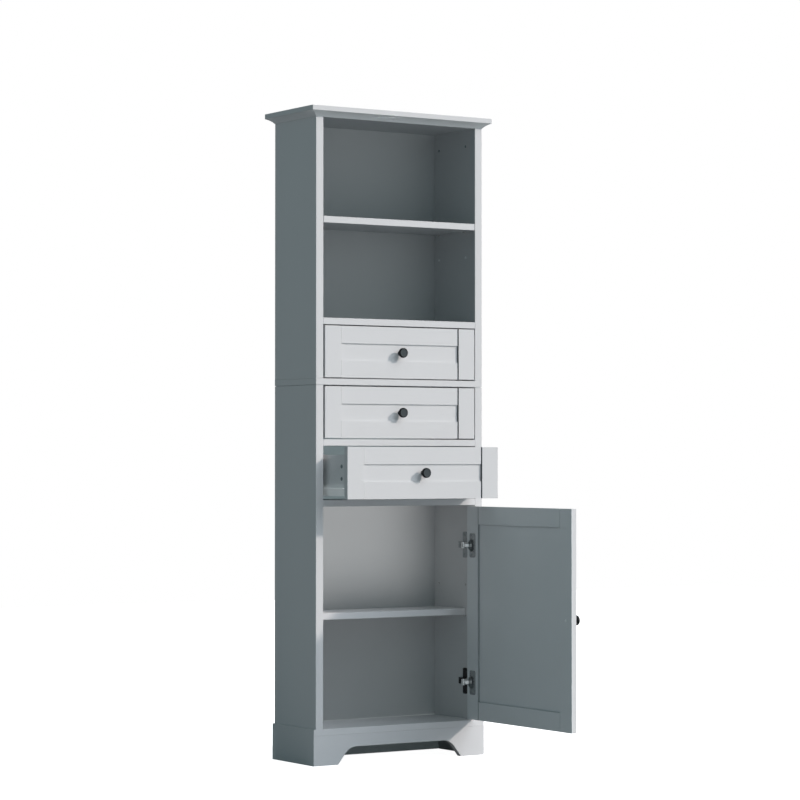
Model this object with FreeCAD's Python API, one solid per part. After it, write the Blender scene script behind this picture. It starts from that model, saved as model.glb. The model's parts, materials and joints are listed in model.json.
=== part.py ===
import FreeCAD, Part
import math
import os

# Tall free-standing bathroom cabinet of painted boards, in millimetres.
# X runs to the right along the front, the front faces -Y, and Z is up.
# The origin is on the floor, under the middle of the rear plinth board.

# Carcass boards
total_height = 1700.0
carcass_width = 518.0
side_thickness = 22.0
board_thickness = 17.0
edge_ease = 0.6
overrun = 5.0
match_tolerance = 0.05

# Top board and the hollow crown under it
top_thickness = 13.0
crown_height = 14.0
crown_side_overhang = 21.0
crown_front_overhang = 18.0
crown_hollow = 2.0

# Plinth with an arch between two bracket feet
plinth_height = 77.0
plinth_thickness = 17.0
plinth_side_overhang = 6.0
arch_width = 383.0
arch_height = 45.0
arch_radius = 43.0
arch_slope_deg = 52.0

# Levels inside
lower_carcass_height = 886.0
drawer_opening_height = 140.0
middle_bay_share = 0.49
seam_rebate_height = 1.2
seam_rebate_depth = 2.5

# Back panels, held in grooves of the sides
back_thickness = 5.0
back_inset = 9.0
groove_depth = 6.0
groove_clearance = 0.2

# Loose shelves on pins
shelf_end_gap = 1.0
door_shelf_setback = 47.0
pin_radius = 2.5
pin_bearing_length = 8.0
pin_hole_clearance = 0.05
pin_front_inset = 45.0
pin_rear_inset = 37.0
spare_pin_headroom = 44.0

# Framed fronts of the drawers and the door
front_thickness = 15.0
front_proud = 2.0
drawer_side_gap = 4.0
drawer_front_gap = 2.8
door_side_gap = 3.0
door_front_gap = 3.0
stile_width = 50.0
stile_step = 2.5
field_depth = 3.0
door_rear_step = 0.5
door_rear_field_depth = 4.0
drawer_rail_width = 45.0
door_rail_width = 48.0
joint_groove_width = 2.0
joint_groove_share = 0.4
rail_groove_depth = 2.0

# Drawer boxes
drawer_side_thickness = 12.0
drawer_side_headroom = 23.0
drawer_side_lift = 12.0
drawer_box_length = 172.0
drawer_rear_room = 11.0
drawer_bottom_thickness = 4.0
drawer_bottom_lift = 8.0
drawer_groove_depth = 4.0
drawer_groove_clearance = 0.1
bottom_drawer_pull = 110.0

# Steel runners: a profile on each drawer side runs in a channel on each cabinet side
runner_side_room = 12.5
runner_gauge = 1.2
runner_clearance = 0.3
runner_leaf_height = 19.0
runner_lip_width = 8.0
channel_top_leg = 8.5
channel_front_setback = 15.0
channel_rear_setback = 4.0

# Round knobs
knob_radius = 13.0
knob_neck_radius = 6.0
knob_face_radius = 11.0
knob_neck_height = 11.0
knob_rim_end = 19.0
knob_height = 21.0

# Concealed hinges, laid out in plan with the door closed
hinge_top_inset = 104.0
hinge_bottom_inset = 98.0
cup_radius = 17.5
cup_skin = 2.5
cup_wall = 1.0
cup_edge_wall = 3.0
cup_clearance = 0.1
wing_length = 64.0
wing_width = 26.0
wing_offset = 5.0
wing_gauge = 1.2
wing_corner = 5.0
cup_pin_from_edge = 7.2
cup_pin_depth = 7.6
arm_pin_from_edge = 26.2
arm_pin_depth = 1.2
hinge_pin_radius = 1.2
hinge_pin_clearance = 0.05
link_thickness = 2.6
link_bow = 5.2
link_height = 8.0
link_boss_radius = 2.4
link_swing_deg = 21.0
door_open_deg = 90.0
arm_height = 16.0
arm_gauge = 6.0
arm_lift = 2.3
arm_nose_radius = 3.0
arm_bend_radius = 4.0
arm_slot_clearance = 0.3
arm_base_end = 63.0
plate_gauge = 2.5
plate_bar_gauge = 3.5
plate_wing_width = 18.0
plate_wing_length = 69.0
plate_wing_setback = 46.0
plate_bar_front = 20.0
plate_bar_rear = 74.0
plate_corner = 4.0

# Places worked out from the sizes above
half_width = carcass_width / 2
opening_half = half_width - side_thickness
rear = plinth_thickness / 2
seat_depth = front_thickness - front_proud
inner_depth = seat_depth + drawer_box_length + drawer_rear_room
carcass_depth = inner_depth + back_thickness + back_inset
front = rear - carcass_depth
back_face = rear - back_inset - back_thickness
base_top = plinth_height + board_thickness
seam = base_top + lower_carcass_height
carcass_top = total_height - top_thickness - crown_height
crown_top = carcass_top + crown_height
drawer_pitch = drawer_opening_height + board_thickness
divider_bottom = seam - drawer_pitch
door_head_bottom = divider_bottom - drawer_pitch
top_drawer_floor = seam + board_thickness
middle_drawer_floor = divider_bottom + board_thickness
bottom_drawer_floor = door_head_bottom + board_thickness
bay_floor_bottom = top_drawer_floor + drawer_opening_height
bay_floor_top = bay_floor_bottom + board_thickness
open_height = carcass_top - bay_floor_top - board_thickness
upper_shelf_bottom = bay_floor_top + middle_bay_share * open_height
door_shelf_bottom = (base_top + door_head_bottom - board_thickness) / 2
stile_face = front - front_proud
stile_rear = stile_face + front_thickness
rail_face = stile_face + stile_step
field_face = rail_face + field_depth
drawer_front_half = opening_half - drawer_side_gap
door_half = opening_half - door_side_gap
box_half = opening_half - runner_side_room
box_inner_half = box_half - drawer_side_thickness
drawer_side_height = drawer_opening_height - drawer_side_lift - drawer_side_headroom
pin_rows = (front + pin_front_inset, rear - pin_rear_inset)
door_bottom = base_top + door_front_gap
door_top = door_head_bottom - door_front_gap
hinge_levels = (door_bottom + hinge_bottom_inset, door_top - hinge_top_inset)
cup_depth = front_thickness - cup_skin
cup_x = door_half - cup_edge_wall - cup_radius
arm_pin = FreeCAD.Vector(door_half - arm_pin_from_edge, stile_rear - arm_pin_depth, 0)
cup_pin = FreeCAD.Vector(door_half - cup_pin_from_edge, stile_rear - cup_pin_depth, 0)
up = FreeCAD.Vector(0, 0, 1)


def box(x0, x1, y0, y1, z0, z1):
    return Part.makeBox(x1 - x0, y1 - y0, z1 - z0, FreeCAD.Vector(x0, y0, z0))


def flat_face(edges):
    return Part.Face(Part.Wire(Part.__sortEdges__(edges)))


def mirrored(shape):
    return shape.mirror(FreeCAD.Vector(0, 0, 0), FreeCAD.Vector(1, 0, 0))


def ease_front(shape):
    """Break the edges round the front face of a board."""
    near = shape.BoundBox.YMin
    wanted = [e for e in shape.Edges if e.BoundBox.YMax - near < edge_ease]
    return shape.makeChamfer(edge_ease, wanted)


def ease_side(shape):
    """Break the edges round the front face and round the outer face of a left side board."""
    bounds = shape.BoundBox
    at_front = [e for e in shape.Edges if e.BoundBox.YMax - bounds.YMin < edge_ease]
    outer = [e for e in shape.Edges if e.BoundBox.XMax - bounds.XMin < edge_ease]
    wanted = at_front + [e for e in outer if not any(e.isSame(f) for f in at_front)]
    return shape.makeChamfer(edge_ease, wanted)


def ease_all(shape):
    return shape.makeChamfer(edge_ease, shape.Edges)


def save(name, *solids):
    shape = solids[0] if len(solids) == 1 else Part.makeCompound(list(solids))
    shape.exportStep("parts/" + name + ".step")


# Top board, and the crown board with a hollow run along all four edges
def hollow(low, high):
    """Arc from the foot of the crown to its lip, bowed up into the board."""
    chord = high - low
    across = FreeCAD.Vector(chord.x, chord.y, 0)
    inward = up * across.Length - across * (chord.z / across.Length)
    middle = (low + high) * 0.5 + inward * (crown_hollow / chord.Length)
    return Part.Arc(low, middle, high).toShape()


def crown_prism(along, low, high, overhang, start, length):
    """Board with a hollow along two opposite edges; along is the direction it is drawn in."""
    side = up.cross(along)
    foot = side * low + along * start + up * carcass_top
    lip = side * (low - overhang) + along * start + up * crown_top
    far_foot = side * high + along * start + up * carcass_top
    far_lip = side * (high + overhang) + along * start + up * crown_top
    edges = [
        hollow(foot, lip),
        Part.makeLine(lip, far_lip),
        hollow(far_foot, far_lip),
        Part.makeLine(far_foot, foot),
    ]
    return flat_face(edges).extrude(along * length)


def make_crown():
    across = carcass_width + 2 * crown_side_overhang
    deep = carcass_depth + 2 * crown_front_overhang
    lip_front = front - crown_front_overhang
    ends = crown_prism(
        FreeCAD.Vector(0, 1, 0), -half_width, half_width, crown_side_overhang, lip_front, deep
    )
    faces = crown_prism(
        FreeCAD.Vector(1, 0, 0), front, rear, crown_front_overhang, -across / 2, across
    )
    save("crown_board", ends.common(faces).Solids[0])
    top = box(-across / 2, across / 2, lip_front, lip_front + deep, crown_top, total_height)
    save("top_board", ease_all(top))


# Sides: the upper ones stand on the upper carcass bottom, and the lower ones under it
def pin_hole(y, z):
    """Blind hole for a shelf pin, bored from the inner face of the left side."""
    depth = pin_bearing_length + shelf_end_gap
    place = FreeCAD.Vector(-opening_half - depth, y, z)
    return Part.makeCylinder(pin_radius, depth + overrun, place, FreeCAD.Vector(1, 0, 0))


def make_side(bottom, top, pin_levels):
    """Left side board with the groove for the back and holes for the shelf pins."""
    side = ease_side(box(-half_width, -opening_half, front, rear, bottom, top))
    groove = box(
        -opening_half - groove_depth, -opening_half + overrun,
        back_face - groove_clearance, back_face + back_thickness + groove_clearance,
        bottom - overrun, top + overrun,
    )
    side = side.cut(groove)
    for z in pin_levels:
        for y in pin_rows:
            side = side.cut(pin_hole(y, z))
    return side


def pin_level(shelf_bottom):
    return shelf_bottom - pin_radius


def make_sides():
    spare = carcass_top - spare_pin_headroom
    upper = make_side(top_drawer_floor, carcass_top, (pin_level(upper_shelf_bottom), spare))
    lower = make_side(base_top, seam, (pin_level(door_shelf_bottom),))
    save("upper_left_side", upper)
    save("upper_right_side", mirrored(upper))
    save("lower_left_side", lower)
    save("lower_right_side", mirrored(lower))


# Boards fixed between the sides, the board under the upper sides, back panels and loose shelves
def make_boards():
    fixed = {
        "open_bay_floor": bay_floor_bottom,
        "drawer_divider": divider_bottom,
        "door_bay_head": door_head_bottom,
    }
    for name, z in fixed.items():
        board = box(-opening_half, opening_half, front, back_face, z, z + board_thickness)
        save(name, ease_front(board))
    back_half = opening_half + groove_depth - groove_clearance
    for name, z0, z1 in (("upper_back", top_drawer_floor, carcass_top), ("lower_back", base_top, seam)):
        save(name, box(-back_half, back_half, back_face, back_face + back_thickness, z0, z1))


def make_seam_board():
    """Board across the whole width, with a rebate round its underside that shows as the seam."""
    board = ease_front(box(-half_width, half_width, front, rear, seam, top_drawer_floor))
    rebate_top = seam + seam_rebate_height
    around = box(
        -half_width - overrun, half_width + overrun, front - overrun, rear + overrun, seam - overrun, rebate_top
    )
    kept = box(
        -half_width + seam_rebate_depth, half_width - seam_rebate_depth,
        front + seam_rebate_depth, rear - seam_rebate_depth, seam - overrun, rebate_top,
    )
    save("upper_carcass_bottom", board.cut(around.cut(kept)))


def make_shelves():
    half = opening_half - shelf_end_gap
    shelves = (
        ("upper_shelf", upper_shelf_bottom, front),
        ("door_bay_shelf", door_shelf_bottom, front + door_shelf_setback),
    )
    pins = []
    for name, z, y0 in shelves:
        board = box(-half, half, y0, back_face - shelf_end_gap, z, z + board_thickness)
        save(name, ease_front(board))
        for y in pin_rows:
            start = FreeCAD.Vector(-opening_half - pin_bearing_length, y, pin_level(z))
            pin = Part.makeCylinder(
                pin_radius - pin_hole_clearance, 2 * pin_bearing_length, start, FreeCAD.Vector(1, 0, 0)
            )
            pins += [pin, mirrored(pin)]
    save("shelf_pins", *pins)


# Plinth: base board, front board with the arch, two sides and a rear board
def make_arch():
    """Prism of the space under the front board, with slanted feet and rounded upper corners."""
    slope = math.radians(arch_slope_deg)
    turn_z = arch_height - arch_radius * (1 - math.cos(slope))
    turn_x = arch_width / 2 - turn_z / math.tan(slope)
    level_x = turn_x - arch_radius * math.sin(slope)
    half_turn = slope / 2
    mid_x = level_x + arch_radius * math.sin(half_turn)
    mid_z = arch_height - arch_radius * (1 - math.cos(half_turn))
    foot_x = arch_width / 2 + overrun / math.tan(slope)
    y = front - overrun
    foot, turn, mid, level = (
        FreeCAD.Vector(x, y, z)
        for x, z in ((foot_x, -overrun), (turn_x, turn_z), (mid_x, mid_z), (level_x, arch_height))
    )
    right = [Part.makeLine(foot, turn), Part.Arc(turn, mid, level).toShape()]
    left = [mirrored(e) for e in right]
    over = Part.makeLine(level, FreeCAD.Vector(-level_x, y, arch_height))
    under = Part.makeLine(FreeCAD.Vector(-foot_x, y, -overrun), foot)
    depth = FreeCAD.Vector(0, plinth_thickness + 2 * overrun, 0)
    return flat_face(right + left + [over, under]).extrude(depth)


def make_plinth():
    half = half_width + plinth_side_overhang
    save("base_board", ease_front(box(-half, half, front, rear, plinth_height, base_top)))
    front_board = box(-half, half, front, front + plinth_thickness, 0, plinth_height)
    save("plinth_front", front_board.cut(make_arch()))
    save("plinth_rear", box(-half, half, rear - plinth_thickness, rear, 0, plinth_height))
    end = box(
        -half, -half + plinth_thickness, front + plinth_thickness, rear - plinth_thickness, 0, plinth_height
    )
    save("plinth_left", end)
    save("plinth_right", mirrored(end))


# Framed fronts: two proud stiles, and between them rails round a sunk field
def make_stile(edge, z0, z1):
    """Right stile out to X = edge, its face's edges broken except the one beside the centre board."""
    inner = edge - stile_width
    stile = box(inner, edge, stile_face, stile_rear, z0, z1)
    face = [e for e in stile.Edges if e.BoundBox.YMax - stile_face < edge_ease]
    return stile.makeChamfer(edge_ease, [e for e in face if e.BoundBox.XMax - inner > edge_ease])


def stile_groove(half, y0, y1, z0, z1):
    """Space of the fine grooves along both ends of a centre board."""
    groove = box(half - joint_groove_width, half + overrun, y0, y1, z0 - overrun, z1 + overrun)
    return Part.makeCompound([groove, mirrored(groove)])


def make_centre(edge, z0, z1, rail_width, rear_step, rear_field):
    """Rails and field in one board, grooved where it meets each stile; the door's is sunk behind as well."""
    half = edge - stile_width
    wide = half + overrun
    rear_face = stile_rear - rear_step
    groove_depth = joint_groove_share * (rear_face - rail_face)
    z_low = z0 + rail_width
    z_high = z1 - rail_width
    centre = box(-half, half, rail_face, rear_face, z0, z1)
    cuts = [
        box(-wide, wide, rail_face - overrun, field_face, z_low, z_high),
        stile_groove(half, rail_face - overrun, rail_face + groove_depth, z0, z1),
    ]
    if rear_field:
        field_rear = rear_face - rear_field
        rail_groove_floor = field_rear - rail_groove_depth
        cuts += [
            box(-wide, wide, field_rear, rear_face + overrun, z_low, z_high),
            stile_groove(half, rear_face - groove_depth, rear_face + overrun, z0, z1),
            box(-wide, wide, rail_groove_floor, rear_face + overrun, z_low, z_low + joint_groove_width),
            box(-wide, wide, rail_groove_floor, rear_face + overrun, z_high - joint_groove_width, z_high),
        ]
    for cut in cuts:
        centre = centre.cut(cut)
    return centre.removeSplitter()


def make_knob(x, seat, z):
    """Turned mushroom knob seated on a face at Y = seat."""
    outline = [
        (0, 0),
        (knob_neck_radius, 0),
        (knob_neck_radius, knob_neck_height),
        (knob_radius, knob_neck_height),
        (knob_radius, knob_rim_end),
        (knob_face_radius, knob_height),
        (0, knob_height),
    ]
    points = [FreeCAD.Vector(radius, -height, 0) for radius, height in outline]
    section = Part.Face(Part.makePolygon(points + points[:1]))
    knob = section.revolve(FreeCAD.Vector(0, 0, 0), FreeCAD.Vector(0, 1, 0), 360)
    knob.translate(FreeCAD.Vector(x, seat, z))
    return knob


# Drawers: a framed front, a box behind it and a steel profile under each side
def make_drawer_side(floor):
    """Left side of a drawer box, grooved for the bottom."""
    low = floor + drawer_side_lift
    side = box(
        -box_half, -box_inner_half, stile_rear, stile_rear + drawer_box_length, low, low + drawer_side_height
    )
    groove_low = low + drawer_bottom_lift - drawer_groove_clearance
    groove_high = low + drawer_bottom_lift + drawer_bottom_thickness + drawer_groove_clearance
    groove = box(
        -box_inner_half - drawer_groove_depth, -box_inner_half + overrun,
        stile_rear - overrun, stile_rear + drawer_box_length + overrun, groove_low, groove_high,
    )
    return side.cut(groove)


def make_drawer_profile(floor):
    """Steel profile on the left side of a drawer: foot under the side, leaf beside it, lip outwards."""
    low = floor + drawer_side_lift
    outer = -box_half - runner_gauge
    y0 = stile_rear
    y1 = stile_rear + drawer_box_length
    leaf_top = low + runner_leaf_height
    foot = box(outer, -box_inner_half, y0, y1, low - runner_gauge, low)
    leaf = box(outer, -box_half, y0, y1, low - runner_gauge, leaf_top)
    lip = box(outer - runner_lip_width, outer, y0 + runner_lip_width, y1, leaf_top - runner_gauge, leaf_top)
    return foot.fuse([leaf, lip]).removeSplitter()


def make_channel(floor):
    """Steel channel on the left cabinet side: leg under the drawer's foot, web, and leg over its lip."""
    foot_top = floor + drawer_side_lift - runner_gauge - runner_clearance
    roof = floor + drawer_side_lift + runner_leaf_height + runner_clearance
    y0 = front + channel_front_setback
    y1 = back_face - channel_rear_setback
    wall = -opening_half
    web = box(wall, wall + runner_gauge, y0, y1, foot_top - runner_gauge, roof + runner_gauge)
    under = box(wall, -box_inner_half, y0, y1, foot_top - runner_gauge, foot_top)
    over = box(wall, wall + channel_top_leg, y0, y1, roof, roof + runner_gauge)
    return web.fuse([under, over]).removeSplitter()


def make_drawer(name, floor, pull):
    z0 = floor + drawer_front_gap
    z1 = floor + drawer_opening_height - drawer_front_gap
    mid = (z0 + z1) / 2
    low = floor + drawer_side_lift
    side_top = low + drawer_side_height
    bottom_z = low + drawer_bottom_lift
    bottom_top = bottom_z + drawer_bottom_thickness
    box_rear = stile_rear + drawer_box_length
    bottom_half = box_inner_half + drawer_groove_depth - drawer_groove_clearance
    stile = make_stile(drawer_front_half, z0, z1)
    side = make_drawer_side(floor)
    profile = make_drawer_profile(floor)
    back = box(
        -box_inner_half, box_inner_half, box_rear - drawer_side_thickness, box_rear, bottom_top, side_top
    )
    pieces = {
        "right_stile": [stile],
        "left_stile": [mirrored(stile)],
        "centre": [make_centre(drawer_front_half, z0, z1, drawer_rail_width, 0, 0)],
        "left_side": [side],
        "right_side": [mirrored(side)],
        "back": [back],
        "bottom": [box(-bottom_half, bottom_half, stile_rear, box_rear, bottom_z, bottom_top)],
        "runners": [profile, mirrored(profile)],
        "knob": [make_knob(0, field_face, mid)],
    }
    for piece, solids in pieces.items():
        for solid in solids:
            solid.translate(FreeCAD.Vector(0, -pull, 0))
        save(name + "_" + piece, *solids)
    channel = make_channel(floor)
    save(name + "_channels", channel, mirrored(channel))


# Concealed hinges, drawn with the door closed
def rounded_bar(x0, x1, y0, y1, z0, z1, corner):
    """Plate whose four corners, seen along its thinnest way, are rounded."""
    bar = box(x0, x1, y0, y1, z0, z1)
    thin = min(bar.BoundBox.XLength, bar.BoundBox.YLength)
    return bar.makeFillet(corner, [e for e in bar.Edges if abs(e.Length - thin) < match_tolerance])


def make_cup(level):
    """Bowl let into the door, with two screw wings and the pin across it."""
    along = FreeCAD.Vector(0, 1, 0)
    floor_y = stile_rear - cup_depth
    centre = FreeCAD.Vector(cup_x, floor_y, level)
    bowl = Part.makeCylinder(cup_radius, cup_depth, centre, along)
    inner = Part.makeCylinder(
        cup_radius - cup_wall, cup_depth + overrun, centre + along * cup_wall, along
    )
    wing_x = cup_x - wing_offset
    wings = rounded_bar(
        wing_x - wing_width / 2, wing_x + wing_width / 2, stile_rear, stile_rear + wing_gauge,
        level - wing_length / 2, level + wing_length / 2, wing_corner,
    )
    reach = math.sqrt((cup_radius - cup_wall / 2) ** 2 - (cup_pin.x - cup_x) ** 2)
    pin = Part.makeCylinder(hinge_pin_radius, 2 * reach, cup_pin + up * (level - reach))
    return bowl.fuse(wings).cut(inner).fuse(pin).removeSplitter()


def make_link(level):
    """Bowed link between the arm's pin and the cup's pin."""
    chord = cup_pin - arm_pin
    across = chord.cross(up)
    across.normalize()
    half = across * (link_thickness / 2)
    middle = (arm_pin + cup_pin) * 0.5 + across * link_bow
    outer = Part.Arc(arm_pin + half, middle + half, cup_pin + half).toShape()
    inner = Part.Arc(arm_pin - half, middle - half, cup_pin - half).toShape()
    ends = [Part.makeLine(p - half, p + half) for p in (arm_pin, cup_pin)]
    link = flat_face([outer, inner] + ends).extrude(up * link_height)
    for p in (arm_pin, cup_pin):
        link = link.fuse(Part.makeCylinder(link_boss_radius, link_height, p))
    for p in (arm_pin, cup_pin):
        link = link.cut(Part.makeCylinder(hinge_pin_radius + hinge_pin_clearance, link_height, p))
    link.translate(up * (level - link_height / 2))
    return link.removeSplitter()


def is_upright_at(edge, places):
    """True for an upright edge that stands over one of the places in plan."""
    if edge.BoundBox.ZLength < arm_gauge:
        return False
    foot = edge.Vertexes[0].Point
    return any(math.hypot(foot.x - x, foot.y - y) < edge_ease for x, y in places)


def make_arm(level):
    """Cranked arm on the plate: base along the cabinet side, cross piece, and a forked nose."""
    z0 = level - arm_height / 2
    z1 = level + arm_height / 2
    cross_front = stile_rear + arm_lift
    cross_rear = cross_front + arm_gauge
    base_right = opening_half - plate_bar_gauge
    nose_left = arm_pin.x - arm_nose_radius
    nose_right = arm_pin.x + arm_nose_radius
    cross = box(nose_left, base_right, cross_front, cross_rear, z0, z1)
    base = box(base_right - arm_gauge, base_right, cross_front, front + arm_base_end, z0, z1)
    nose = box(nose_left, nose_right, arm_pin.y, cross_rear, z0, z1)
    tip = Part.makeCylinder(arm_nose_radius, arm_height, arm_pin + up * z0)
    arm = cross.fuse([base, nose, tip]).removeSplitter()
    bends = [(nose_left, cross_rear), (base_right, cross_front)]
    corners = [e for e in arm.Edges if is_upright_at(e, bends)]
    arm = arm.makeFillet(arm_bend_radius, corners)
    slot_half = link_height / 2 + arm_slot_clearance
    slot = box(
        nose_left - overrun, nose_right + overrun, arm_pin.y - arm_nose_radius - overrun,
        cross_front, level - slot_half, level + slot_half,
    )
    pin = Part.makeCylinder(hinge_pin_radius, arm_height, arm_pin + up * z0)
    return arm.cut(slot).fuse(pin).removeSplitter()


def make_plate(level):
    """Cross-shaped plate on the cabinet side."""
    wing_y = front + plate_wing_setback
    wing = rounded_bar(
        opening_half - plate_gauge, opening_half,
        wing_y - plate_wing_width / 2, wing_y + plate_wing_width / 2,
        level - plate_wing_length / 2, level + plate_wing_length / 2, plate_corner,
    )
    bar = box(
        opening_half - plate_bar_gauge, opening_half, front + plate_bar_front, front + plate_bar_rear,
        level - arm_height / 2, level + arm_height / 2,
    )
    return wing.fuse(bar).removeSplitter()


# The door stands open: each link has swung out, and the door has turned about the cups' pins
def swing_link(shape):
    shape.rotate(arm_pin, up, -link_swing_deg)
    return shape


def swing_door(shape):
    shape.rotate(cup_pin, up, door_open_deg + link_swing_deg)
    return swing_link(shape)


def make_door():
    mid = (door_bottom + door_top) / 2
    knob_x = -door_half + stile_width / 2
    hinge_stile = make_stile(door_half, door_bottom, door_top)
    for level in hinge_levels:
        place = FreeCAD.Vector(cup_x, stile_rear - cup_depth, level)
        bore = Part.makeCylinder(
            cup_radius + cup_clearance, cup_depth + overrun, place, FreeCAD.Vector(0, 1, 0)
        )
        hinge_stile = hinge_stile.cut(bore)
    free_stile = mirrored(make_stile(door_half, door_bottom, door_top))
    centre = make_centre(
        door_half, door_bottom, door_top, door_rail_width, door_rear_step, door_rear_field_depth
    )
    pieces = {
        "door_hinge_stile": [hinge_stile],
        "door_free_stile": [free_stile],
        "door_centre": [centre],
        "door_knob": [make_knob(knob_x, stile_face, mid)],
        "hinge_cups": [make_cup(level) for level in hinge_levels],
    }
    for name, solids in pieces.items():
        save(name, *[swing_door(solid) for solid in solids])
    save("hinge_links", *[swing_link(make_link(level)) for level in hinge_levels])
    save("hinge_arms", *[make_arm(level) for level in hinge_levels])
    save("hinge_plates", *[make_plate(level) for level in hinge_levels])


os.makedirs("parts", exist_ok=True)
make_crown()
make_sides()
make_boards()
make_seam_board()
make_shelves()
make_plinth()
make_drawer("top_drawer", top_drawer_floor, 0)
make_drawer("middle_drawer", middle_drawer_floor, 0)
make_drawer("bottom_drawer", bottom_drawer_floor, bottom_drawer_pull)
make_door()
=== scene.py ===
import json
import math

import bpy
from mathutils import Matrix, Vector


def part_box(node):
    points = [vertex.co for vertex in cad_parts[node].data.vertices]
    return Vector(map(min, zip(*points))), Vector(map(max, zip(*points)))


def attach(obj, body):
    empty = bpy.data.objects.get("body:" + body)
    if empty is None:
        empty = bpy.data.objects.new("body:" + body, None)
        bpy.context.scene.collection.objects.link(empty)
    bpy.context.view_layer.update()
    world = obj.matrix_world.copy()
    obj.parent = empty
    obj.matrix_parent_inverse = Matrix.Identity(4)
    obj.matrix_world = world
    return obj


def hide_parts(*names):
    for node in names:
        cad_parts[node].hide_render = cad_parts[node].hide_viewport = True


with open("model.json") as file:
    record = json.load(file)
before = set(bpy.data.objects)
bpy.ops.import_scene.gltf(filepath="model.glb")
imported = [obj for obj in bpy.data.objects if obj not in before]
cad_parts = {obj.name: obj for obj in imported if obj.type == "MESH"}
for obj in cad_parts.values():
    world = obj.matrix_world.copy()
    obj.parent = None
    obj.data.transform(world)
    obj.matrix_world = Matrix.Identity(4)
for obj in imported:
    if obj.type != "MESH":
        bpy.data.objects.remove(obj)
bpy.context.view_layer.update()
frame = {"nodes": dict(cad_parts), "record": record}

# Sizes in metres, in the cabinet's own frame: X to the right, front towards -Y, Z up
MM = 0.001
QUARTER_TURN = math.radians(90.0)

# Camera that took the photograph, solved from the cabinet's straight edges
CAMERA_PLACE = Vector((-3.92918, -6.28484, 0.79314))
CAMERA_YAW = math.radians(-32.8472)
CAMERA_PITCH = math.radians(1.191)
CAMERA_LENS_MM = 124.197
CAMERA_SENSOR_MM = 36.0
CAMERA_REACH = 100.0

# Lamps, with their angles in degrees: how far to the right of straight in front they stand, how high, and
# how wide they spread. The key is crisp, the soft light wide and the fill weak; the others stand for what the
# room gives back to the places that they are named for
LIGHTS = {
    "key": {
        "azimuth": 51.0, "elevation": 29.0, "spread": 2.5, "strength": 2.00, "colour": (1.0, 0.882, 0.815),
    },
    "soft": {
        "azimuth": 30.0, "elevation": 36.0, "spread": 58.0, "strength": 1.60, "colour": (0.886, 0.933, 1.0),
    },
    "fill": {
        "azimuth": 3.0, "elevation": 0.0, "spread": 1.0, "strength": 0.257, "colour": (0.869, 0.925, 1.0),
    },
    "bay": {
        "azimuth": 22.0, "elevation": -22.0, "spread": 52.0, "strength": 1.25, "colour": (1.0, 0.99, 0.975),
    },
    "open_bay": {
        "azimuth": 22.0, "elevation": -8.0, "spread": 60.0, "strength": 0.27, "colour": (0.95, 1.0, 1.0),
    },
    "drawer": {
        "azimuth": -12.0, "elevation": 52.0, "spread": 30.0, "strength": 1.9, "colour": (0.96, 1.0, 1.0),
    },
    "arch": {
        "azimuth": -20.0, "elevation": -5.0, "spread": 20.0, "strength": 0.22, "colour": (0.78, 0.97, 1.0),
    },
    "crown": {
        "azimuth": 60.0, "elevation": -35.0, "spread": 30.0, "strength": 0.62, "colour": (0.93, 1.0, 1.0),
    },
}

# Surroundings: as the picture shows them, in reflections, and as the light that they give back
WHITE = (1.0, 1.0, 1.0)
REFLECTED_COLOUR = (0.56, 0.63, 0.65)
SHADE_COLOUR = (0.125, 0.176, 0.189)
FLOOR_SIZE = 14.0
FLOOR_DROP = 0.3 * MM
FLOOR_GLOW = 0.97
FLOOR_COLOUR = (0.90, 0.90, 0.90)
FLOOR_BOUNCE_COLOUR = (0.36, 0.37, 0.38)

# Unseen cards in the bays: the share of each colour of light that passes
CARD_SETBACK = 2.0 * MM
OPEN_BAY_SHADE = (0.0, 0.0, 0.0)
OPEN_BAY_VEIL = (0.76, 0.77, 0.78)
DRAWER_SHADE = (0.56, 0.72, 0.76)
LOW_BAY_SHADE = (0.12, 0.12, 0.12)

# Turned knob, in millimetres: height above its seat and radius of each ring, then radius and depth of each
# ring of the sunk face
KNOB_PROFILE = [
    (0.0, 6.0), (0.8, 6.0), (1.5, 5.4), (2.6, 4.6), (5.5, 4.2), (8.5, 4.6), (10.8, 6.4),
    (12.3, 10.0), (13.3, 12.3), (14.3, 13.0), (18.6, 13.0), (19.8, 12.7), (20.6, 12.0), (21.0, 11.0),
]
KNOB_FACE = [(9.8, 0.0), (9.2, -0.6), (8.4, -0.7), (4.0, -0.5)]
KNOB_SIDES = 64
KNOB_FACE_HEIGHT = 20.2 * MM
KNOB_FACE_RADIUS = 10.2 * MM
FACE_ATTRIBUTE = "knob_face_share"

# Pan-head screw and cam fitting, and the length, width and depth of the crossed slot in each
SCREW_PROFILE = [(0.0, 3.3), (0.9, 3.3), (1.5, 2.9), (1.9, 2.0)]
SCREW_SIDES = 32
SCREW_CROSS = (3.4 * MM, 0.8 * MM, 1.1 * MM)
CAM_PROFILE = [(0.0, 5.0), (0.4, 5.0), (0.7, 4.6)]
CAM_SIDES = 40
CAM_CROSS = (5.6 * MM, 1.3 * MM, 0.5 * MM)

# Sleeve of a spare shelf pin hole: a thin collar with a sunk middle
SLEEVE_PROFILE = [(0.0, 3.4), (0.3, 3.4), (0.6, 3.0)]
SLEEVE_FACE = [(2.5, 0.0), (2.3, -0.45)]
SLEEVE_SIDES = 32

# Edges of turned pieces that are flatter than this are smooth
SMOOTH_ANGLE = math.radians(38.0)

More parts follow.
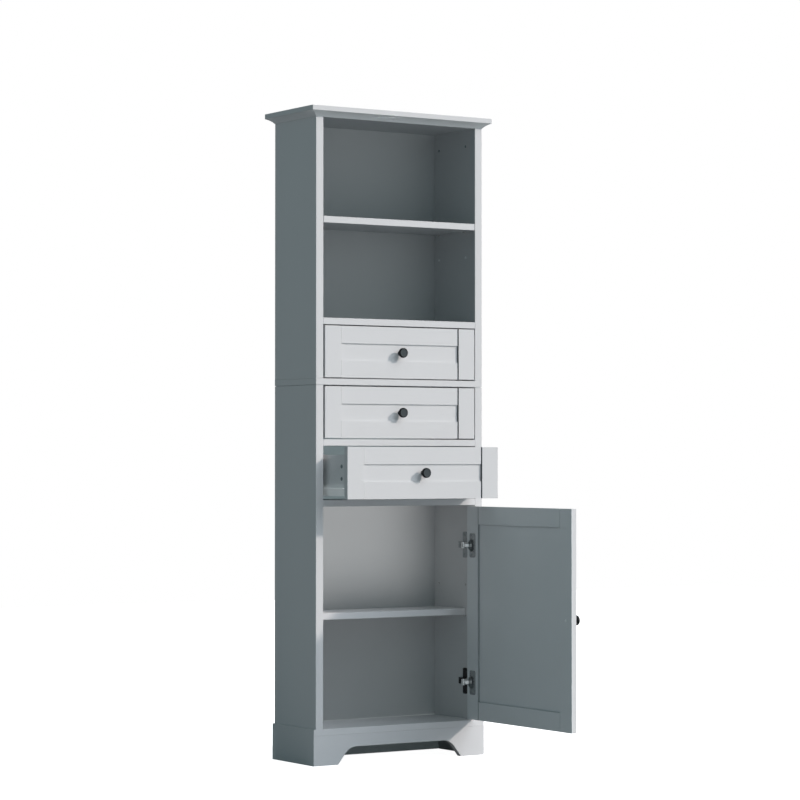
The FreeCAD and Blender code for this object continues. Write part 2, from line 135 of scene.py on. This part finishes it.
# Places of the small fittings on what carries them
PLATE_GAUGE = 2.5 * MM
PLATE_WING_SETBACK = 26.0 * MM
PLATE_SCREW_REACH = 26.0 * MM
WING_SCREW_REACH = 25.0 * MM
ARM_HEIGHT = 16.0 * MM
ARM_GAUGE = 6.0 * MM
ARM_SCREW_SETBACKS = (26.0 * MM, 40.0 * MM)
CAM_SETBACK = 27.0 * MM
CAM_LIFTS = (43.0 * MM, 75.0 * MM)
SLEEVE_LEVELS = {"lower": 452.0 * MM, "upper": 1330.0 * MM, "top": 1629.0 * MM}
SLEEVE_HALVES = {"lower": "lower", "upper": "upper", "top": "upper"}
SLEEVE_SETBACKS = {"front": 45.0 * MM, "rear": 173.0 * MM}

DRAWERS = ("top_drawer", "middle_drawer", "bottom_drawer")

# Paint and foil, the share of its colour at the two ends of each mottle, and faces of painted light and
# painted shade
PAINT = (0.662, 0.667, 0.672)
BACK_PAINT_SHARE = 0.97
# The door's paint, lighter than the rest as painted light
DOOR_PAINTED_LIGHT_SHARE = 1.05
FOIL_SHARE = 1.10
PAINT_MOTTLE = (0.965, 1.03)
FOIL_MOTTLE = (0.96, 1.03)
COAT_MOTTLE = (0.95, 1.03)
PLATED_MOTTLE = (0.92, 1.05)
# Back face of the door, lighter and cooler as painted light, and how far in it reaches on the stiles and on
# the centre
DOOR_BACK_PAINTED_LIGHT = (0.755, 0.788, 0.80)
DOOR_STILE_REACH = 2.0 * MM
DOOR_FIELD_REACH = 7.0 * MM
# Faces of the stiles in their joints, darker as painted shade, and how far in they reach
DRAWER_JOINT_SHADE = (0.150, 0.158, 0.164)
DOOR_JOINT_SHADE = (0.42, 0.44, 0.45)
JOINT_REACH = 0.1 * MM

# Metals and lacquer; a pair of colours is the two ends of a mottle
PROFILE_COAT = (0.86, 0.88, 0.88)
CHANNEL_COAT = (0.80, 0.82, 0.82)
PALE_COAT = (0.92, 0.94, 0.94)
CUP_STEEL = (0.35, 0.37, 0.38)
PIN_STEEL = (0.62, 0.61, 0.60)
CUP_METALLIC = 0.35
PIN_METALLIC = 0.7
KNOB_RIM = ((0.004, 0.005, 0.006), (0.010, 0.012, 0.014))
# The knob face's greyer tone is a painted sheen
KNOB_FACE_SHEEN = ((0.042, 0.051, 0.055), (0.066, 0.078, 0.084))
DARK_ZINC = ((0.190, 0.220, 0.230), (0.270, 0.300, 0.310))
# Tones of the two hinges, which differ as painted light and shade: black and grey plates, lighter and darker
# nickel
BLACK_PLATE = ((0.010, 0.011, 0.012), (0.022, 0.023, 0.024))
GREY_PLATE = ((0.30, 0.32, 0.33), (0.41, 0.43, 0.44))
LIT_NICKEL = ((0.92, 0.93, 0.93), (0.98, 0.99, 0.99))
SHADED_NICKEL = ((0.72, 0.74, 0.74), (0.82, 0.84, 0.84))
HINGE_CHANGE_HEIGHT = 380.0 * MM
ARM_BRIGHT_END = -179.5 * MM

# Stretch of a pattern along each axis
FOIL_PRINT = (40.0, 4.0, 160.0)
ROLLING_LINES = (60.0, 60.0, 1400.0)

# Sockets of a Mix node that takes colours
MIX_SHARE = 0
MIX_FIRST = 6
MIX_SECOND = 7
MIX_RESULT = 2


# Shader maths
class Wire:
    """A shader socket that takes part in sums, and the way to any other node."""

    def __init__(self, tree, socket=None):
        self.tree = tree
        self.socket = socket

    def node(self, kind, settings=(), inputs=(), output=0):
        made = self.tree.nodes.new(kind)
        for name, value in dict(settings).items():
            setattr(made, name, value)
        for name, value in dict(inputs).items():
            if isinstance(value, Wire):
                self.tree.links.new(value.socket, made.inputs[name])
            else:
                made.inputs[name].default_value = value
        return Wire(self.tree, made.outputs[output] if made.outputs else None)

    def math(self, operation, first, second):
        return self.node("ShaderNodeMath", {"operation": operation}, {0: first, 1: second})

    def __add__(self, other):
        return self.math("ADD", self, other)

    def __radd__(self, other):
        return self.math("ADD", other, self)

    def __mul__(self, other):
        return self.math("MULTIPLY", self, other)

    def __rmul__(self, other):
        return self.math("MULTIPLY", other, self)


def new_finish(name):
    material = bpy.data.materials.new(name)
    material.use_nodes = True
    material.node_tree.nodes.clear()
    return material, Wire(material.node_tree)


def object_place(wire, stretch=(1.0, 1.0, 1.0)):
    """Object coordinates, stretched along each axis."""
    place = wire.node("ShaderNodeTexCoord", output="Object")
    return wire.node("ShaderNodeMapping", inputs={"Vector": place, "Scale": stretch})


def coordinate(wire, place, axis):
    return wire.node("ShaderNodeSeparateXYZ", inputs={"Vector": place}, output=axis)


def cloud(wire, place, scale=1.0, detail=2.0):
    inputs = {"Vector": place, "Scale": scale, "Detail": detail, "Roughness": 0.5}
    return wire.node("ShaderNodeTexNoise", inputs=inputs, output="Fac")


def opaque(colour):
    """Colour for a socket: a wire as it is, and plain numbers with a fourth one after them."""
    return colour if isinstance(colour, Wire) else (*colour, 1.0)


def blend_colours(wire, share, first, second):
    """Mix of two colours, each given as plain numbers or as a wire."""
    inputs = {MIX_SHARE: share, MIX_FIRST: opaque(first), MIX_SECOND: opaque(second)}
    return wire.node("ShaderNodeMix", {"data_type": "RGBA"}, inputs, MIX_RESULT)


def scaled(colour, factor):
    return tuple(channel * factor for channel in colour)


def mottled(wire, share, colour, ends):
    """Colour that varies between two shares of itself."""
    darkest, lightest = ends
    return blend_colours(wire, share, scaled(colour, darkest), scaled(colour, lightest))


def close_finish(wire, colour, roughness, height, depth, **others):
    """Shader with a bump of the given depth; the others go onto the sockets that they are named for."""
    bump = wire.node("ShaderNodeBump", inputs={"Height": height, "Distance": depth, "Strength": 1.0})
    inputs = {"Base Color": colour, "Roughness": roughness, "Normal": bump}
    inputs.update({name.replace("_", " "): value for name, value in others.items()})
    shader = wire.node("ShaderNodeBsdfPrincipled", inputs=inputs)
    wire.node("ShaderNodeOutputMaterial", inputs={"Surface": shader})


# Finishes
def painted_light_door_back(reach):
    """Back of the door, as far in as reach, with a lighter and cooler tone that is painted light on this
    shaded face.
    """
    return "X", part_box("door_centre")[0].x + reach, DOOR_BACK_PAINTED_LIGHT


def joint_shade_face(stile, axis, tone):
    """Face of a stile, at its low end along an axis, where it meets the centre board, darkened as painted
    shade for the shadow in the joint.
    """
    return axis, getattr(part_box(stile)[0], axis.lower()) + JOINT_REACH, tone


def board_paint(name, colour, faces=()):
    """Sprayed satin paint on boards: faint clouds of tone, fine orange peel and a few dull patches.

    Each of faces is what lies below a limit on an axis, with its own colour: lighter where it is painted
    light, darker where it is painted shade. A later one covers earlier ones.
    """
    material, wire = new_finish(name)
    place = object_place(wire)
    clouds = cloud(wire, place, scale=5.0, detail=3.0)
    grain = cloud(wire, place, scale=420.0)
    peel = cloud(wire, place, scale=900.0, detail=1.0)
    mottle = clouds * 0.8 + grain * 0.2
    tone = mottled(wire, mottle, colour, PAINT_MOTTLE)
    for axis, limit, face_colour in faces:
        on_face = wire.math("LESS_THAN", coordinate(wire, place, axis), limit)
        tone = blend_colours(wire, on_face, tone, mottled(wire, mottle, face_colour, PAINT_MOTTLE))
    roughness = 0.50 + clouds * 0.10 + grain * 0.05
    close_finish(wire, tone, roughness, peel + grain * 0.4, depth=0.035 * MM, Specular_IOR_Level=0.32)
    return material


def drawer_foil(name, colour):
    """Matt foil on the drawer boxes, with a faint print along the board."""
    material, wire = new_finish(name)
    streaks = cloud(wire, object_place(wire, FOIL_PRINT), detail=3.0)
    fine = cloud(wire, object_place(wire), scale=700.0)
    tone = mottled(wire, streaks, colour, FOIL_MOTTLE)
    roughness = 0.52 + fine * 0.10
    close_finish(wire, tone, roughness, fine, depth=0.04 * MM, Specular_IOR_Level=0.35)
    return material


def powder_coat(name, colour):
    """Light powder coat on the runners and some small fittings: small bumps and a soft shine."""
    material, wire = new_finish(name)
    place = object_place(wire)
    bumps = cloud(wire, place, scale=1100.0)
    tone = mottled(wire, cloud(wire, place, scale=30.0), colour, COAT_MOTTLE)
    roughness = 0.36 + bumps * 0.12
    close_finish(wire, tone, roughness, bumps, depth=0.1 * MM, Specular_IOR_Level=0.5)
    return material


def black_lacquer(name):
    """Black lacquer on the knobs: deep black round the rim and neck, and duller on the face, with a greyer
    tone there that is a painted sheen.
    """
    material, wire = new_finish(name)
    place = object_place(wire)
    spray = cloud(wire, place, scale=420.0, detail=3.0)
    fine = cloud(wire, place, scale=2200.0)
    face = wire.node("ShaderNodeAttribute", {"attribute_name": FACE_ATTRIBUTE}, output="Fac")
    rim_tone = blend_colours(wire, spray, *KNOB_RIM)
    sheen_tone = blend_colours(wire, spray, *KNOB_FACE_SHEEN)
    tone = blend_colours(wire, face, rim_tone, sheen_tone)
    roughness = 0.36 + spray * 0.12 + face * 0.06
    close_finish(wire, tone, roughness, fine, depth=0.05 * MM, Specular_IOR_Level=0.14)
    return material


def hinge_light_and_shade_tone(wire, place, mottle, lower, upper):
    """Mottled colour that differs between the two hinges, which are alike, as painted light and shade: a pair
    of colours for each.
    """
    on_upper = wire.math("GREATER_THAN", coordinate(wire, place, "Z"), HINGE_CHANGE_HEIGHT)
    lower_tone = blend_colours(wire, mottle, *lower)
    upper_tone = blend_colours(wire, mottle, *upper)
    return blend_colours(wire, on_upper, lower_tone, upper_tone)


def hinge_plate_steel(name):
    """Painted steel of the hinge plates, faintly mottled: black on the lower hinge, grey on the upper, a
    difference that is painted light and shade.
    """
    material, wire = new_finish(name)
    place = object_place(wire)
    mottle = cloud(wire, place, scale=180.0, detail=3.0)
    tone = hinge_light_and_shade_tone(wire, place, mottle, BLACK_PLATE, GREY_PLATE)
    roughness = 0.28 + mottle * 0.2
    close_finish(wire, tone, roughness, mottle, depth=0.05 * MM, Metallic=0.45)
    return material


def hinge_arm_steel(name):
    """Hinge arms: painted like their plate along the side, and plated bright at the cranked front end."""
    material, wire = new_finish(name)
    place = object_place(wire)
    mottle = cloud(wire, place, scale=180.0, detail=3.0)
    lines = cloud(wire, object_place(wire, ROLLING_LINES))
    front = wire.math("LESS_THAN", coordinate(wire, place, "Y"), ARM_BRIGHT_END)
    plated = hinge_light_and_shade_tone(wire, place, mottle, LIT_NICKEL, SHADED_NICKEL)
    painted = hinge_light_and_shade_tone(wire, place, mottle, BLACK_PLATE, GREY_PLATE)
    tone = blend_colours(wire, front, painted, plated)
    roughness = 0.22 + lines * 0.16
    close_finish(wire, tone, roughness, lines, depth=0.02 * MM, Metallic=0.55 + front * 0.35)
    return material


def hinge_link_steel(name):
    """Hinge links: satin nickel, darker on the upper hinge than on the lower one, as painted light and shade.
    """
    material, wire = new_finish(name)
    place = object_place(wire)
    mottle = cloud(wire, place, scale=240.0)
    tone = hinge_light_and_shade_tone(wire, place, mottle, LIT_NICKEL, SHADED_NICKEL)
    roughness = 0.28 + mottle * 0.12
    close_finish(wire, tone, roughness, mottle, depth=0.02 * MM, Metallic=0.85)
    return material


def dark_zinc(name):
    """Dull dark zinc of the cam fittings, also used as painted shade on the top row of spare pin sleeves."""
    material, wire = new_finish(name)
    grain = cloud(wire, object_place(wire), scale=900.0, detail=3.0)
    tone = blend_colours(wire, grain, *DARK_ZINC)
    roughness = 0.45 + grain * 0.2
    close_finish(wire, tone, roughness, grain, depth=0.06 * MM, Specular_IOR_Level=0.3)
    return material


def bright_plate(name, colour, metallic):
    """Nickel-plated pressed steel with faint rolling lines."""
    material, wire = new_finish(name)
    lines = cloud(wire, object_place(wire, ROLLING_LINES))
    mottle = cloud(wire, object_place(wire), scale=240.0)
    tone = mottled(wire, mottle, colour, PLATED_MOTTLE)
    roughness = 0.20 + lines * 0.16
    close_finish(wire, tone, roughness, lines, depth=0.03 * MM, Metallic=metallic)
    return material


# The door's paint, lighter than the rest as painted light, with its painted faces
def painted_light_door_paint(name, faces):
    return board_paint(name, scaled(PAINT, DOOR_PAINTED_LIGHT_SHARE), faces)


# Finish of each material slot in the record, of small fittings, and of nodes that differ from their slot
FINISHES = {
    "painted_board": board_paint("painted_board_finish", PAINT),
    "back_panel": board_paint("back_panel_finish", scaled(PAINT, BACK_PAINT_SHARE)),
    "drawer_box": drawer_foil("drawer_box_finish", scaled(PAINT, FOIL_SHARE)),
    "knob_black": black_lacquer("knob_finish"),
    "runner_profile": powder_coat("runner_profile_finish", PROFILE_COAT),
    "runner_channel": powder_coat("runner_channel_finish", CHANNEL_COAT),
    "hinge_plate_dark": hinge_plate_steel("hinge_plate_finish"),
    "hinge_steel": hinge_link_steel("hinge_link_finish"),
    "hinge_cup_steel": bright_plate("hinge_cup_finish", CUP_STEEL, CUP_METALLIC),
    "pin_steel": bright_plate("pin_steel_finish", PIN_STEEL, PIN_METALLIC),
}
CAM_AND_HOLE_SHADE_FINISH = dark_zinc("cam_and_hole_shade_finish")
PALE_FINISH = powder_coat("pale_coat_finish", PALE_COAT)
# The top row's sleeves are dark zinc as painted shade, for the shade in their holes
SLEEVE_FINISHES = {
    "lower": FINISHES["pin_steel"],
    "upper": PALE_FINISH,
    "top": CAM_AND_HOLE_SHADE_FINISH,
}
# Hinge stile of the door: its back is painted light, and its face in the joint painted shade
HINGE_STILE_LIGHT_AND_SHADE = [painted_light_door_back(DOOR_STILE_REACH), joint_shade_face("door_hinge_stile", "Y", DOOR_JOINT_SHADE)]
# Right stiles of the drawers: the face in the joint is darker, as painted shade
RIGHT_STILE_SHADE_FACES = [joint_shade_face("top_drawer_right_stile", "X", DRAWER_JOINT_SHADE)]
RIGHT_STILE_SHADED_FINISH = board_paint("right_stile_shaded_finish", PAINT, RIGHT_STILE_SHADE_FACES)
# The door is lighter than the rest as painted light, and the drawers' right stiles are darker in their joints
# as painted shade
NODE_FINISHES = {
    "hinge_arms": hinge_arm_steel("hinge_arm_finish"),
    "door_hinge_stile": painted_light_door_paint("door_hinge_stile_light_and_shade_finish", HINGE_STILE_LIGHT_AND_SHADE),
    "door_centre": painted_light_door_paint("door_centre_painted_light_finish", [painted_light_door_back(DOOR_FIELD_REACH)]),
    "door_free_stile": painted_light_door_paint("door_free_stile_painted_light_finish", [painted_light_door_back(DOOR_STILE_REACH)]),
    "top_drawer_right_stile": RIGHT_STILE_SHADED_FINISH,
    "middle_drawer_right_stile": RIGHT_STILE_SHADED_FINISH,
    "bottom_drawer_right_stile": RIGHT_STILE_SHADED_FINISH,
}


def paint_nodes():
    for entry in frame["record"]["subparts"]:
        node = frame["nodes"][entry["node"]]
        node.data.materials.clear()
        node.data.materials.append(FINISHES[entry["material_slot"]])
    for name, finish in NODE_FINISHES.items():
        frame["nodes"][name].data.materials[0] = finish


# Modelling by hand, one piece at a time
def leave_edit():
    if bpy.context.object and bpy.context.object.mode != "OBJECT":
        bpy.ops.object.mode_set(mode="OBJECT")
    bpy.ops.object.select_all(action="DESELECT")


def lift(height):
    bpy.ops.mesh.extrude_region_move(TRANSFORM_OT_translate={"value": (0.0, 0.0, height)})


def widen(factor, height):
    bpy.ops.transform.resize(value=(factor, factor, 1.0), center_override=(0.0, 0.0, height))


def turn_piece(name, sides, profile, face=()):
    """Turned piece that stands on the origin: a disc drawn up ring by ring, then a face sunk in its top."""
    leave_edit()
    height, radius = profile[0]
    bpy.ops.mesh.primitive_circle_add(vertices=sides, radius=radius * MM, fill_type="NGON")
    piece = bpy.context.object
    piece.name = name
    bpy.ops.object.mode_set(mode="EDIT")
    bpy.ops.mesh.select_all(action="SELECT")
    for next_height, next_radius in profile[1:]:
        lift((next_height - height) * MM)
        widen(next_radius / radius, next_height * MM)
        height, radius = next_height, next_radius
    top = height
    for next_radius, sink in face:
        bpy.ops.mesh.inset(thickness=(radius - next_radius) * MM, depth=0.0)
        bpy.ops.transform.translate(value=(0.0, 0.0, (top + sink - height) * MM))
        height, radius = top + sink, next_radius
    bpy.ops.mesh.select_all(action="SELECT")
    bpy.ops.mesh.normals_make_consistent(inside=False)
    leave_edit()
    piece.select_set(True)
    bpy.ops.object.shade_smooth_by_angle(angle=SMOOTH_ANGLE)
    return piece


def cut_cross(piece, cross):
    """Cut a crossed slot in the top of a turned piece."""
    length, width, depth = cross
    top = max(point.co.z for point in piece.data.vertices)
    bars = []
    for turn in (0.0, QUARTER_TURN):
        leave_edit()
        bpy.ops.mesh.primitive_cube_add(size=1.0, location=(0.0, 0.0, top), rotation=(0.0, 0.0, turn))
        bar = bpy.context.object
        bar.scale = (length, width, 2.0 * depth)
        bpy.ops.object.transform_apply(location=True, rotation=True, scale=True)
        bars.append(bar)
    for bar in bars:
        leave_edit()
        bpy.context.view_layer.objects.active = piece
        piece.select_set(True)
        cut = piece.modifiers.new("slot", "BOOLEAN")
        cut.operation = "DIFFERENCE"
        cut.solver = "EXACT"
        cut.object = bar
        bpy.ops.object.modifier_apply(modifier=cut.name)
        bpy.data.objects.remove(bar)
    return piece


def facing(direction):
    """Turn that points a piece modelled along +Z in the given direction."""
    return Vector((0.0, 0.0, 1.0)).rotation_difference(Vector(direction)).to_matrix().to_4x4()


def set_piece(model, name, place, direction, body, slot, finish=None):
    """Copy of a modelled piece, stood on a face at place and carried by a body."""
    piece = bpy.data.objects.new(name, model.data.copy())
    bpy.context.scene.collection.objects.link(piece)
    piece.data.transform(Matrix.Translation(place) @ facing(direction))
    piece.data.materials.clear()
    piece.data.materials.append(finish or FINISHES[slot])
    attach(piece, body)
    return piece


def middle(node):
    low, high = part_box(node)
    return (low + high) / 2


# Knobs and the screws that hold them from behind
def mark_knob_face(knob):
    """Say in an attribute which of the knob's points belong to its sunk face."""
    share = knob.data.attributes.new(FACE_ATTRIBUTE, "FLOAT", "POINT")
    for point, value in zip(knob.data.vertices, share.data):
        on_face = point.co.z > KNOB_FACE_HEIGHT and point.co.xy.length < KNOB_FACE_RADIUS
        value.value = 1.0 if on_face else 0.0


def fit_knobs(knob, screw):
    for drawer in DRAWERS:
        node = drawer + "_knob"
        seat = middle(node)
        seat.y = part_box(node)[1].y
        piece = set_piece(knob, node + "_turned", seat, (0, -1, 0), drawer, "knob_black")
        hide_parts(node)
        behind = Vector((seat.x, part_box(drawer + "_centre")[1].y, seat.z))
        set_piece(screw, node + "_screw", behind, (0, 1, 0), drawer, "pin_steel")
    seat = middle("door_knob")
    seat.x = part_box("door_knob")[0].x
    piece = set_piece(knob, "door_knob_turned", seat, (1, 0, 0), "door", "knob_black")
    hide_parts("door_knob")
    behind = Vector((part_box("door_free_stile")[0].x, seat.y, seat.z))
    set_piece(screw, "door_knob_screw", behind, (-1, 0, 0), "door", "pin_steel", PALE_FINISH)


# Cam fittings that hold each drawer front to the drawer's sides
def fit_cams(cam):
    for drawer in DRAWERS:
        for hand, sign in (("left", -1), ("right", 1)):
            low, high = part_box(f"{drawer}_{hand}_side")
            face = low.x if sign < 0 else high.x
            for step, rise in enumerate(CAM_LIFTS, 1):
                place = Vector((face, low.y + CAM_SETBACK, low.z + rise))
                name = f"{drawer}_{hand}_cam_{step}"
                set_piece(cam, name, place, (sign, 0, 0), drawer, "hinge_plate_dark", CAM_AND_HOLE_SHADE_FINISH)


# Screws of the hinges
def hinge_levels():
    low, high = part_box("hinge_arms")
    return {"lower": low.z + ARM_HEIGHT / 2, "upper": high.z - ARM_HEIGHT / 2}


def fit_hinge_screws(screw):
    plate_low, plate_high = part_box("hinge_plates")
    plate_face = plate_high.x - PLATE_GAUGE
    wing_line = plate_low.y + PLATE_WING_SETBACK
    arm_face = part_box("hinge_arms")[1].x - ARM_GAUGE
    cup_low, cup_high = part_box("hinge_cups")
    cup_line = (cup_low.y + cup_high.y) / 2
    inward = (-1, 0, 0)
    for level_name, level in hinge_levels().items():
        for end, sign in (("low", -1), ("high", 1)):
            place = Vector((plate_face, wing_line, level + sign * PLATE_SCREW_REACH))
            name = f"{level_name}_plate_screw_{end}"
            set_piece(screw, name, place, inward, "cabinet", "hinge_plate_dark")
            place = Vector((cup_low.x, cup_line, level + sign * WING_SCREW_REACH))
            name = f"{level_name}_cup_screw_{end}"
            set_piece(screw, name, place, inward, "door", "hinge_cup_steel")
        for step, setback in enumerate(ARM_SCREW_SETBACKS, 1):
            place = Vector((arm_face, plate_low.y + setback, level))
            name = f"{level_name}_arm_screw_{step}"
            set_piece(screw, name, place, inward, "cabinet", "hinge_plate_dark")


# Spare shelf pin holes in the inner faces of the sides
def fit_sleeves(sleeve):
    for row_level, level in SLEEVE_LEVELS.items():
        finish = SLEEVE_FINISHES[row_level]
        for hand, sign in (("left", 1), ("right", -1)):
            low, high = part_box(f"{SLEEVE_HALVES[row_level]}_{hand}_side")
            face = high.x if sign > 0 else low.x
            for row, setback in SLEEVE_SETBACKS.items():
                place = Vector((face, low.y + setback, level))
                name = f"{row_level}_{hand}_{row}_sleeve"
                set_piece(sleeve, name, place, (sign, 0, 0), "cabinet", "pin_steel", finish)


def fit_small_pieces():
    knob = turn_piece("knob_model", KNOB_SIDES, KNOB_PROFILE, KNOB_FACE)
    mark_knob_face(knob)
    screw = cut_cross(turn_piece("screw_model", SCREW_SIDES, SCREW_PROFILE), SCREW_CROSS)
    cam = cut_cross(turn_piece("cam_model", CAM_SIDES, CAM_PROFILE), CAM_CROSS)
    sleeve = turn_piece("sleeve_model", SLEEVE_SIDES, SLEEVE_PROFILE, SLEEVE_FACE)
    fit_knobs(knob, screw)
    fit_cams(cam)
    fit_hinge_screws(screw)
    fit_sleeves(sleeve)
    for model in (knob, screw, cam, sleeve):
        bpy.data.objects.remove(model)


# Floor, light and camera
def seen_or_lighting(wire, seen, lighting):
    """One shader where the picture looks straight at it, and another for the light that it gives back."""
    straight = wire.node("ShaderNodeLightPath", output="Is Camera Ray")
    return wire.node("ShaderNodeMixShader", inputs={0: straight, 1: lighting, 2: seen})


def set_floor():
    leave_edit()
    bpy.ops.mesh.primitive_plane_add(size=FLOOR_SIZE, location=(0.0, 0.0, -FLOOR_DROP))
    floor = bpy.context.object
    floor.name = "floor"
    material, wire = new_finish("floor_finish")
    lit = wire.node("ShaderNodeBsdfDiffuse", inputs={"Color": opaque(FLOOR_COLOUR)})
    glow = wire.node("ShaderNodeEmission", inputs={"Color": opaque(WHITE), "Strength": FLOOR_GLOW})
    pale = wire.node("ShaderNodeAddShader", inputs={0: lit, 1: glow})
    grey = wire.node("ShaderNodeBsdfDiffuse", inputs={"Color": opaque(FLOOR_BOUNCE_COLOUR)})
    wire.node("ShaderNodeOutputMaterial", inputs={"Surface": seen_or_lighting(wire, pale, grey)})
    floor.data.materials.append(material)


def set_world():
    """White where the picture looks straight at it, pale in reflections, and cool and dim as light."""
    world = bpy.data.worlds.new("studio")
    bpy.context.scene.world = world
    world.use_nodes = True
    world.node_tree.nodes.clear()
    wire = Wire(world.node_tree)
    white = wire.node("ShaderNodeBackground", inputs={"Color": opaque(WHITE)})
    pale = wire.node("ShaderNodeBackground", inputs={"Color": opaque(REFLECTED_COLOUR)})
    shade = wire.node("ShaderNodeBackground", inputs={"Color": opaque(SHADE_COLOUR)})
    glossy = wire.node("ShaderNodeLightPath", output="Is Glossy Ray")
    lighting = wire.node("ShaderNodeMixShader", inputs={0: glossy, 1: shade, 2: pale})
    wire.node("ShaderNodeOutputWorld", inputs={"Surface": seen_or_lighting(wire, white, lighting)})


def set_lamp(name):
    light = LIGHTS[name]
    lamp = bpy.data.lights.new(name, "SUN")
    lamp.energy = light["strength"]
    lamp.color = light["colour"]
    lamp.angle = math.radians(light["spread"])
    holder = bpy.data.objects.new(name, lamp)
    azimuth = math.radians(light["azimuth"])
    elevation = math.radians(light["elevation"])
    level = math.cos(elevation)
    towards = Vector((math.sin(azimuth) * level, -math.cos(azimuth) * level, math.sin(elevation)))
    holder.rotation_euler = towards.to_track_quat("Z", "Y").to_euler()
    bpy.context.scene.collection.objects.link(holder)
    return holder


def nodes_named(*names):
    return [frame["nodes"][name] for name in names]


def linked_pieces(name, pieces, state):
    """Collection that a lamp takes in or leaves out."""
    chosen = bpy.data.collections.new(name)
    for piece in pieces:
        chosen.objects.link(piece)
    for member in chosen.collection_objects:
        member.light_linking.link_state = state
    return chosen


def aim_only_at(lamp, pieces, blocking):
    """Let a lamp light only some pieces, and let only some pieces stand in its way."""
    lamp.light_linking.receiver_collection = linked_pieces(lamp.name + "_lit", pieces, "INCLUDE")
    lamp.light_linking.blocker_collection = linked_pieces(lamp.name + "_blocked", blocking, "INCLUDE")


def set_card(name, y, z_low, z_high, passing):
    """Upright unseen card between the sides that only holds back a share of the lamps' light."""
    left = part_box("upper_left_side")[1].x
    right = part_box("upper_right_side")[0].x
    leave_edit()
    bpy.ops.mesh.primitive_plane_add(size=1.0)
    card = bpy.context.object
    card.name = name
    card.scale = (right - left, z_high - z_low, 1.0)
    card.rotation_euler = (QUARTER_TURN, 0.0, 0.0)
    card.location = ((left + right) / 2, y, (z_low + z_high) / 2)
    bpy.ops.object.transform_apply(location=True, rotation=True, scale=True)
    material, wire = new_finish(name + "_finish")
    film = wire.node("ShaderNodeBsdfTransparent", inputs={"Color": opaque(passing)})
    wire.node("ShaderNodeOutputMaterial", inputs={"Surface": film})
    card.data.materials.append(material)
    card.visible_camera = False
    card.visible_diffuse = False
    card.visible_glossy = False
    card.visible_transmission = False
    return card


def set_cards():
    """Cards at the mouth of the open bays and before the lower back; the veil dims only the room's light."""
    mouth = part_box("upper_shelf")[0].y + CARD_SETBACK
    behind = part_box("lower_back")[0].y - CARD_SETBACK
    open_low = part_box("open_bay_floor")[1].z
    open_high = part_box("crown_board")[0].z
    drawers_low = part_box("door_bay_head")[0].z
    drawers_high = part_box("upper_carcass_bottom")[0].z
    bay_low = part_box("base_board")[1].z
    shelf_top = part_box("door_bay_shelf")[1].z
    open_bays = set_card("open_bay_shade", mouth, open_low, open_high, OPEN_BAY_SHADE)
    veil = set_card("open_bay_veil", mouth, open_low, open_high, OPEN_BAY_VEIL)
    veil.visible_diffuse = True
    veil.visible_shadow = False
    drawers = set_card("drawer_shade", behind, drawers_low, drawers_high, DRAWER_SHADE)
    low_bay = set_card("low_bay_shade", behind, bay_low, shelf_top, LOW_BAY_SHADE)
    return open_bays, drawers, low_bay


def set_light():
    set_world()
    open_bays, drawers, low_bay = set_cards()
    key = set_lamp("key")
    soft = set_lamp("soft")
    deep = nodes_named("upper_back", "lower_back", "hinge_links")
    deep_pieces = linked_pieces("deep_pieces", deep, "EXCLUDE")
    key.light_linking.receiver_collection = deep_pieces
    soft.light_linking.receiver_collection = deep_pieces
    fill = set_lamp("fill")
    inside = nodes_named("upper_back", "lower_back", "plinth_rear")
    inside += nodes_named(*(drawer + "_back" for drawer in DRAWERS))
    fill.light_linking.receiver_collection = linked_pieces("inside", inside, "EXCLUDE")
    stopping = nodes_named("plinth_rear", "door_hinge_stile", "door_centre", "door_free_stile")
    fill.light_linking.blocker_collection = linked_pieces("stopping", stopping, "INCLUDE")
    bay_walls = nodes_named("door_bay_shelf", "lower_right_side") + [drawers, low_bay]
    aim_only_at(set_lamp("bay"), nodes_named("lower_back"), bay_walls)
    open_bay_walls = nodes_named("upper_shelf", "upper_right_side")
    aim_only_at(set_lamp("open_bay"), nodes_named("upper_back"), open_bay_walls)
    aim_only_at(set_lamp("drawer"), nodes_named("bottom_drawer_runners"), nodes_named("lower_back"))
    aim_only_at(set_lamp("arch"), nodes_named("plinth_rear"), nodes_named("lower_back"))
    under_crown = [open_bays] + nodes_named("upper_right_side")
    aim_only_at(set_lamp("crown"), nodes_named("crown_board"), under_crown)


def set_camera():
    """Camera of the photograph, with the standard view of colours."""
    camera = bpy.data.cameras.new("photo_camera")
    camera.sensor_width = CAMERA_SENSOR_MM
    camera.lens = CAMERA_LENS_MM
    camera.clip_end = CAMERA_REACH
    holder = bpy.data.objects.new("photo_camera", camera)
    holder.location = CAMERA_PLACE
    holder.rotation_euler = (QUARTER_TURN + CAMERA_PITCH, 0.0, CAMERA_YAW)
    bpy.context.scene.collection.objects.link(holder)
    bpy.context.scene.camera = holder
    bpy.context.scene.view_settings.view_transform = "Standard"


paint_nodes()
fit_small_pieces()
set_floor()
set_light()
set_camera()
